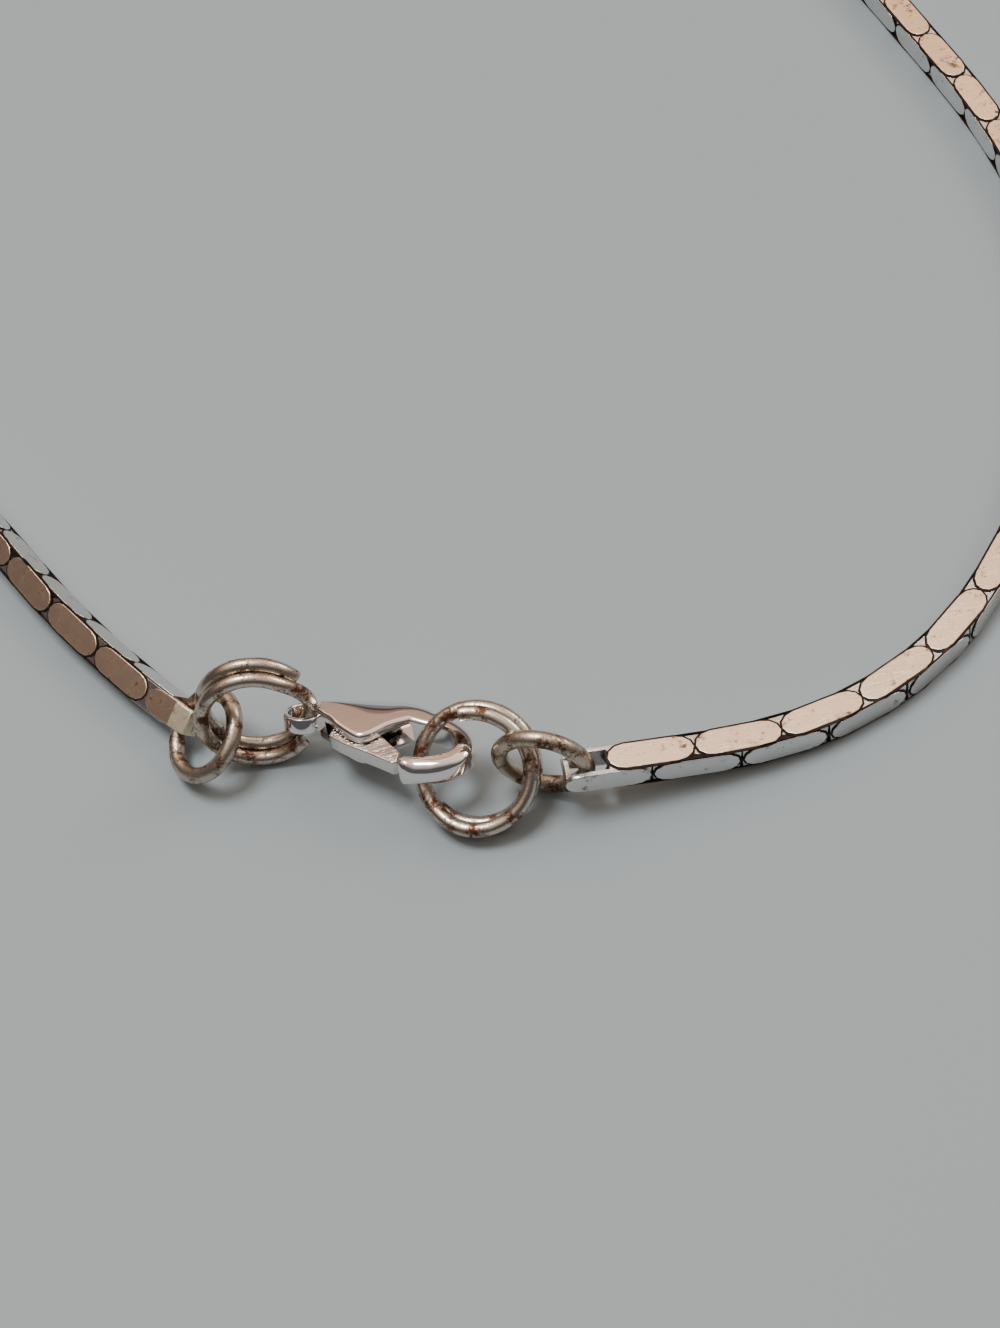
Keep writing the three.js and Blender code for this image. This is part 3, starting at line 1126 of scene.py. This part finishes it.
@dataclass
class LobsterClasp:
    """The clasp: eye, two side walls, back, hook and pin as one casting, and the sprung lever.

    Sizes are in millimetres and turns in degrees. Outlines and other places in the clasp's plane
    are shares of its length and width, counted from the middle of the eye.
    """

    eye: Point = (-4.222, 2.452, 2.028)
    heading: float = -25.83
    roll: float = 16.26
    pitch: float = 0.92
    length: float = 9.35
    width: float = 4.6
    thickness: float = 2.0
    hook_thickness: float = 1.4
    taper_span: Point = (0.5, 0.75)
    rim: float = 0.22
    spine_rim: float = 0.55
    spine_start: Point = (0.16, 0.02)
    hook_rim: float = 0.5
    hook_start: Point = (0.9, -0.66)
    hook_drop: float = 0.85
    hook_drop_start: float = -0.6
    rim_levels: int = 7
    shoulder: float = 1.5
    shoulder_middle: float = 0.42
    shoulder_span: Point = (0.02, 0.27)
    eye_outer: float = 1.06
    eye_hole: float = 0.78
    eye_height: float = 0.84
    eye_tilt: float = -16.0
    eye_rim: float = 0.08
    eye_sides: int = 56
    neck: float = 0.36
    neck_start: float = 0.9
    slot_low: Point = (0.15, -0.96)
    slot_high: Point = (0.622, 0.04)
    lever_thickness: float = 0.86
    lever_gap: float = 0.1
    lever_rim: float = 0.1
    fine_rim_steps: int = 3
    pin_radius: float = 0.28
    pin_gap: float = 0.08
    pin_sink: float = 0.05
    pin_sides: int = 32
    soft_angle: float = 30.0
    flat_weight: int = 60
    steps: int = 8
    pivot: Point = (0.342, -0.21)
    body_outer: tuple[Point, ...] = (
        (0.2, 0.172), (0.342, 0.243), (0.513, 0.272), (0.642, 0.25), (0.77, 0.163), (0.888, 0.043),
        (0.973, -0.13), (1, -0.326), (0.963, -0.522), (0.866, -0.663), (0.749, -0.722),
        (0.685, -0.728),
    )
    hook_tip: tuple[Point, ...] = (
        (0.648, -0.705), (0.632, -0.65), (0.637, -0.598), (0.66, -0.562), (0.695, -0.549),
    )
    hook_inner: tuple[Point, ...] = (
        (0.738, -0.543), (0.834, -0.467), (0.893, -0.326), (0.856, -0.152), (0.759, -0.06),
        (0.61, -0.04),
    )
    lobe: tuple[Point, ...] = (
        (0.513, -0.196), (0.439, -0.355), (0.374, -0.402), (0.278, -0.315), (0.182, -0.174),
    )
    lever_outer: tuple[Point, ...] = ((0.2, -0.32), (0.3, -0.42), (0.45, -0.52), (0.6, -0.63))
    lever_end: tuple[Point, ...] = ((0.618, -0.6), (0.618, -0.46))
    lever_inner: tuple[Point, ...] = ((0.5, -0.27), (0.4, -0.1), (0.28, -0.06), (0.2, -0.14))

    def at(self, share: Point) -> Point:
        """Turns shares of the clasp's length and width into millimetres."""
        return (share[0] * self.length, share[1] * self.width)

    def outline(self, start: Point, *runs: tuple[Sequence[Point], int]) -> list[Point]:
        """Draws runs of points one after another.

        Args:
            start: Where the outline begins, in millimetres.
            runs: The points of each run as shares, and the steps between two of them.

        Returns:
            The outline in millimetres.
        """
        line = [start]
        for points, steps in runs:
            line += spline_through(line[-1], [self.at(p) for p in points], steps)
        return line

    def place(self) -> Matrix:
        """Gives the place of the clasp's own drawing in the necklace."""
        turn = Matrix.Rotation(math.radians(self.heading), 4, Axis.Z.value)
        turn = turn @ Matrix.Rotation(-math.radians(self.pitch), 4, Axis.Y.value)
        turn = turn @ Matrix.Rotation(-math.radians(self.roll), 4, Axis.X.value)
        return Matrix.Translation(Vector(self.eye)) @ turn

    def rod(self, centre: Point, radius: float, height: float, sides: int) -> Piece:
        """Makes an upright rod.

        Args:
            centre: Its place in the clasp's plane, in millimetres.
            radius: Its radius.
            height: Its height, half of it above the plane.
            sides: How many sides it has.

        Returns:
            The rod.
        """
        Bench.clear()
        where = (centre[0] * MM, centre[1] * MM, 0.0)
        bpy.ops.mesh.primitive_cylinder_add(
            vertices=sides, radius=radius * MM, depth=height * MM, location=where
        )
        piece = bpy.context.object
        Bench.settle(piece)
        return piece

    def leaning(self, piece: Piece) -> Piece:
        """Leans a piece about the clasp's length, as the eye does, and returns it."""
        piece.data.transform(Matrix.Rotation(math.radians(self.eye_tilt), 4, Axis.X.value))
        return piece

    def bore(self) -> Piece:
        """Makes the rod that cuts the eye's hole."""
        return self.rod((0.0, 0.0), self.eye_hole, 2 * self.thickness, self.eye_sides)

    def eye_ring(self) -> Piece:
        """Makes the ring round the eye's hole, leaning."""
        ring = self.rod((0.0, 0.0), self.eye_outer, self.eye_height, self.eye_sides)
        Bench.combine(ring, self.bore())
        Bench.round_edges(ring, self.eye_rim, self.fine_rim_steps)
        return self.leaning(ring)

    def taper(self, piece: Piece) -> None:
        """Makes the hook slimmer than the walls."""
        slimmest = self.hook_thickness / self.thickness
        for vertex in piece.data.vertices:
            slim = smoothstep(vertex.co.x / MM / self.length, *self.taper_span)
            vertex.co.z *= 1 + slim * (slimmest - 1)

    def rims(self, outline: Sequence[Point]) -> list[float]:
        """Says how widely the casting is rounded: most along its spine and the hook's back.

        Args:
            outline: The casting's points in millimetres.

        Returns:
            The rounding at each point.
        """
        spine_x, spine_y = self.at(self.spine_start)
        hook_x, hook_y = self.at(self.hook_start)
        radii = []
        for x, y in outline:
            off_middle = abs(x / self.length - self.shoulder_middle)
            shoulder = 1 - smoothstep(off_middle, *self.shoulder_span)
            if y > spine_y and x > spine_x:
                radii.append(self.spine_rim + shoulder * (self.shoulder - self.spine_rim))
            else:
                radii.append(self.hook_rim if x > hook_x or y < hook_y else self.rim)
        return fitting_rims(outline, evened(radii, self.steps // 2))

    def complete(self, piece: Piece, name: str, metal: Metal) -> Piece:
        """Smooths, names and paints a piece of the clasp and sets it in its place.

        Args:
            piece: The piece, drawn flat with the eye at the origin.
            name: Its name.
            metal: Its metal.

        Returns:
            The piece.
        """
        Bench.tidy_mesh(piece)
        Bench.smooth(piece, self.soft_angle, self.flat_weight)
        piece.name = name
        piece.data.transform(metres(self.place()))
        return Bench.paint(piece, metal)

    def build_body(self, metal: Metal) -> Piece:
        """Builds eye, walls, back, hook and pin as one casting."""
        outline = self.outline(
            (self.neck_start, self.neck),
            (self.body_outer, self.steps),
            (self.hook_tip, self.steps // 2),
            (self.hook_inner, self.steps),
            (self.lobe, self.steps),
        )
        outline = [(self.neck_start, -self.neck), *reversed(outline)]
        widths = self.rims(outline)
        drops = [
            self.hook_drop if y < self.hook_drop_start * self.width else min(w, self.spine_rim)
            for (_, y), w in zip(outline, widths)
        ]
        drops = evened(drops, self.steps)
        body = Bench.cushion(outline, self.thickness / 2, widths, drops, self.rim_levels)
        self.taper(body)
        Bench.combine(body, self.leaning(self.bore()))
        slot = self.lever_thickness / 2 + self.lever_gap
        Bench.cut_box(body, (*self.at(self.slot_low), -slot), (*self.at(self.slot_high), slot))
        Bench.combine(body, self.eye_ring(), Joinery.WELD)
        pin_height = self.thickness - 2 * self.pin_sink
        pin = self.rod(self.at(self.pivot), self.pin_radius, pin_height, self.pin_sides)
        Bench.combine(body, pin, Joinery.WELD)
        return self.complete(body, "clasp_casting", metal)

    def build_lever(self, metal: Metal) -> Piece:
        """Builds the lever with the hole that turns on the pin."""
        outline = self.outline(
            self.at(self.lever_outer[0]),
            (self.lever_outer[1:], self.steps),
            (self.lever_end, 1),
            (self.lever_inner, self.steps),
        )
        half = self.lever_thickness / 2
        lever = Bench.plate(outline, -half, half)
        Bench.round_edges(lever, self.lever_rim, self.fine_rim_steps)
        radius = self.pin_radius + self.pin_gap
        hole = self.rod(self.at(self.pivot), radius, self.thickness, self.pin_sides)
        Bench.combine(lever, hole)
        return self.complete(lever, "clasp_spring_lever", metal)


@dataclass(frozen=True)
class Panel:
    """One soft square light panel, in metres and watts."""

    name: str
    place: Point
    side: float
    power: float
    aim: Point = (0.0, -0.07, 0.0)

    def hang(self) -> None:
        """Hangs the panel so that it faces the clasp."""
        light = bpy.data.lights.new(self.name, "AREA")
        light.shape = "SQUARE"
        light.size = self.side
        light.energy = self.power
        lamp = bpy.data.objects.new(self.name, light)
        bpy.context.collection.objects.link(lamp)
        lamp.location = self.place
        way = Vector(self.aim) - Vector(self.place)
        lamp.rotation_euler = way.to_track_quat("-Z", "Y").to_euler()


@dataclass
class Studio:
    """The pale table, the soft light and the camera.

    The camera is in millimetres of the frame, the table in metres. The walls are the room's
    colours by height of view, from level to straight up; spans are of the view's direction.
    """

    camera_place: Point = (4.84, -131.7615, 86.7042)
    right: Point = (0.962, -0.2247, -0.155)
    up: Point = (0.273, 0.792, 0.546)
    focal: float = 55.44
    sensor: float = 36.0
    clip_start: float = 0.001
    table_side: float = 3.0
    table_drop: float = 0.00002
    table: Point = (0.285, 0.335, 0.36)
    table_roughness: float = 0.62
    room_light: float = 0.8
    left_wall: Point = (0.11, 0.088, 0.09)
    left_span: Point = (-0.7, -0.3)
    low_span: Point = (0.6, 0.9)
    near_wall: Point = (0.105, 0.108, 0.118)
    near_span: Point = (-0.75, -0.15)
    walls: tuple[tuple[float, Point], ...] = (
        (0.0, (0.3, 0.3, 0.3)),
        (0.15, (0.28, 0.28, 0.28)),
        (0.2, (0.06, 0.05, 0.05)),
        (0.25, (0.09, 0.07, 0.06)),
        (0.31, (0.37, 0.235, 0.19)),
        (0.4, (0.4, 0.26, 0.21)),
        (0.62, (1.95, 1.35, 0.92)),
        (1.0, (1.0, 1.0, 1.0)),
    )
    panels: tuple[Panel, ...] = (
        Panel("window", (-0.1, 0.08, 0.66), 0.26, 3.4),
        Panel("fill", (0.5, 0.1, 0.35), 0.25, 1.1),
    )

    def build(self) -> None:
        """Sets up the table, the light and the camera."""
        self.lay_table()
        self.tone_room()
        for panel in self.panels:
            panel.hang()
        self.set_camera()

    def lay_table(self) -> None:
        """Lays a wide plain table under the necklace."""
        Bench.clear()
        place = (0.0, 0.0, -self.table_drop)
        bpy.ops.mesh.primitive_plane_add(size=self.table_side, location=place)
        table = bpy.context.object
        Bench.settle(table)
        table.name = "table"
        material = bpy.data.materials.new("table_paint")
        material.use_nodes = True
        shader = material.node_tree.nodes["Principled BSDF"]
        shader.inputs["Base Color"].default_value = (*self.table, 1.0)
        shader.inputs["Roughness"].default_value = self.table_roughness
        table.data.materials.append(material)

    def tone_room(self) -> None:
        """Tones the room: its walls by height, a dark left wall and a dark near wall."""
        world = bpy.data.worlds.new("room")
        bpy.context.scene.world = world
        world.use_nodes = True
        sheet = NodeSheet(world.node_tree)
        direction = sheet.add("ShaderNodeTexCoord").outputs["Generated"]
        split = sheet.add("ShaderNodeSeparateXYZ", Vector=direction).outputs
        ramp = sheet.add("ShaderNodeValToRGB", Fac=split["Z"])
        stops = ramp.color_ramp.elements
        for height, _ in self.walls[1:-1]:
            stops.new(height)
        for stop, (_, colour) in zip(stops, self.walls):
            stop.color = (*colour, 1.0)
        down = (1.0, 0.0)
        left = sheet.span(split["X"], self.left_span, down)
        low = sheet.span(split["Z"], self.low_span, down)
        near = sheet.span(split["Y"], self.near_span, down)
        left_low = sheet.reckon("MULTIPLY", left, low)
        room = sheet.mix_colour(left_low, ramp.outputs["Color"], (*self.left_wall, 1.0))
        ground = world.node_tree.nodes["Background"]
        sheet.feed(ground.inputs["Color"], sheet.mix_colour(near, room, (*self.near_wall, 1.0)))
        sheet.feed(ground.inputs["Strength"], self.room_light)

    def set_camera(self) -> None:
        """Places the camera at the photograph's angle."""
        data = bpy.data.cameras.new("camera")
        data.lens = self.focal
        data.sensor_width = self.sensor
        data.clip_start = self.clip_start
        camera = bpy.data.objects.new("camera", data)
        bpy.context.collection.objects.link(camera)
        right, up = Vector(self.right).normalized(), Vector(self.up)
        up = (up - right * up.dot(right)).normalized()
        turn = Matrix((right, up, right.cross(up))).transposed().to_4x4()
        camera.matrix_world = Matrix.Translation(Vector(self.camera_place) * MM) @ turn
        bpy.context.scene.camera = camera


@dataclass
class Necklace:
    """The whole necklace, piece by piece."""

    shop: FinishShop = field(default_factory=FinishShop)
    jump_rings: tuple[JumpRing, ...] = (
        JumpRing(
            "left_jump_wire", "left_jump_ring", (-9.302, 3.208, 1.944), (-0.547, -0.035, 0.836)
        ),
        JumpRing(
            "right_jump_wire", "right_jump_ring", (6.708, -4.242, 2.655), (0.426, 0.905, 0.014)
        ),
    )
    split_rings: tuple[SplitRing, ...] = (
        SplitRing(
            "left_split_wire", "left_split_ring", (-6.383, 2.796, 3.2), (-0.152, -0.96, 0.235),
            radius=2.7, start=28.4, sweep=647.0, spread=0.413, spread_angle=73.1, crossing=372.2,
            flatten=0.24,
        ),
        SplitRing(
            "right_split_wire", "right_split_ring", (3.442, -3.399, 2.391), (-0.198, -0.573, 0.795),
            radius=2.86, start=147.6, sweep=660.0, spread=0.207, spread_angle=54.5, crossing=573.7,
            flatten=0.0,
        ),
    )

    def carry(self, piece: Piece, node: str, body: str = MAIN_BODY) -> None:
        """Lets a piece stand for a node of the frame and ride on its body.

        Args:
            piece: The finished piece.
            node: The node that it stands for.
            body: The body that it rides on.
        """
        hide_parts(node)
        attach(piece, body)
        LOG.info("%s: %d faces", piece.name, len(piece.data.polygons))

    def build(self) -> None:
        """Builds and dresses every piece."""
        metals = (finish.make(self.shop) for finish in (PAD_TOP, PAD_SIDE, CREVICE_SHADE, END_TAB))
        self.carry(BarChain(ChainRoute(), *metals).build(), "chain")
        for rings, finish, slot in (
            (self.jump_rings, RING_WIRE, "jump_rings"),
            (self.split_rings, SPLIT_WIRE, "split_rings"),
        ):
            wire = finish.make(self.shop)
            for ring in rings:
                self.carry(ring.build(wire), ring.node)
        clasp = LobsterClasp()
        self.carry(clasp.build_body(POLISHED.make(self.shop)), "clasp_body")
        lever = clasp.build_lever(LEVER_METAL.make(self.shop))
        self.carry(lever, "clasp_lever", LEVER_BODY)


def main() -> None:
    """Builds the scene around the frame."""
    logging.basicConfig(level=logging.INFO, format="%(name)s %(message)s")
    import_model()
    Necklace().build()
    Studio().build()


if __name__ == "__main__":
    main()
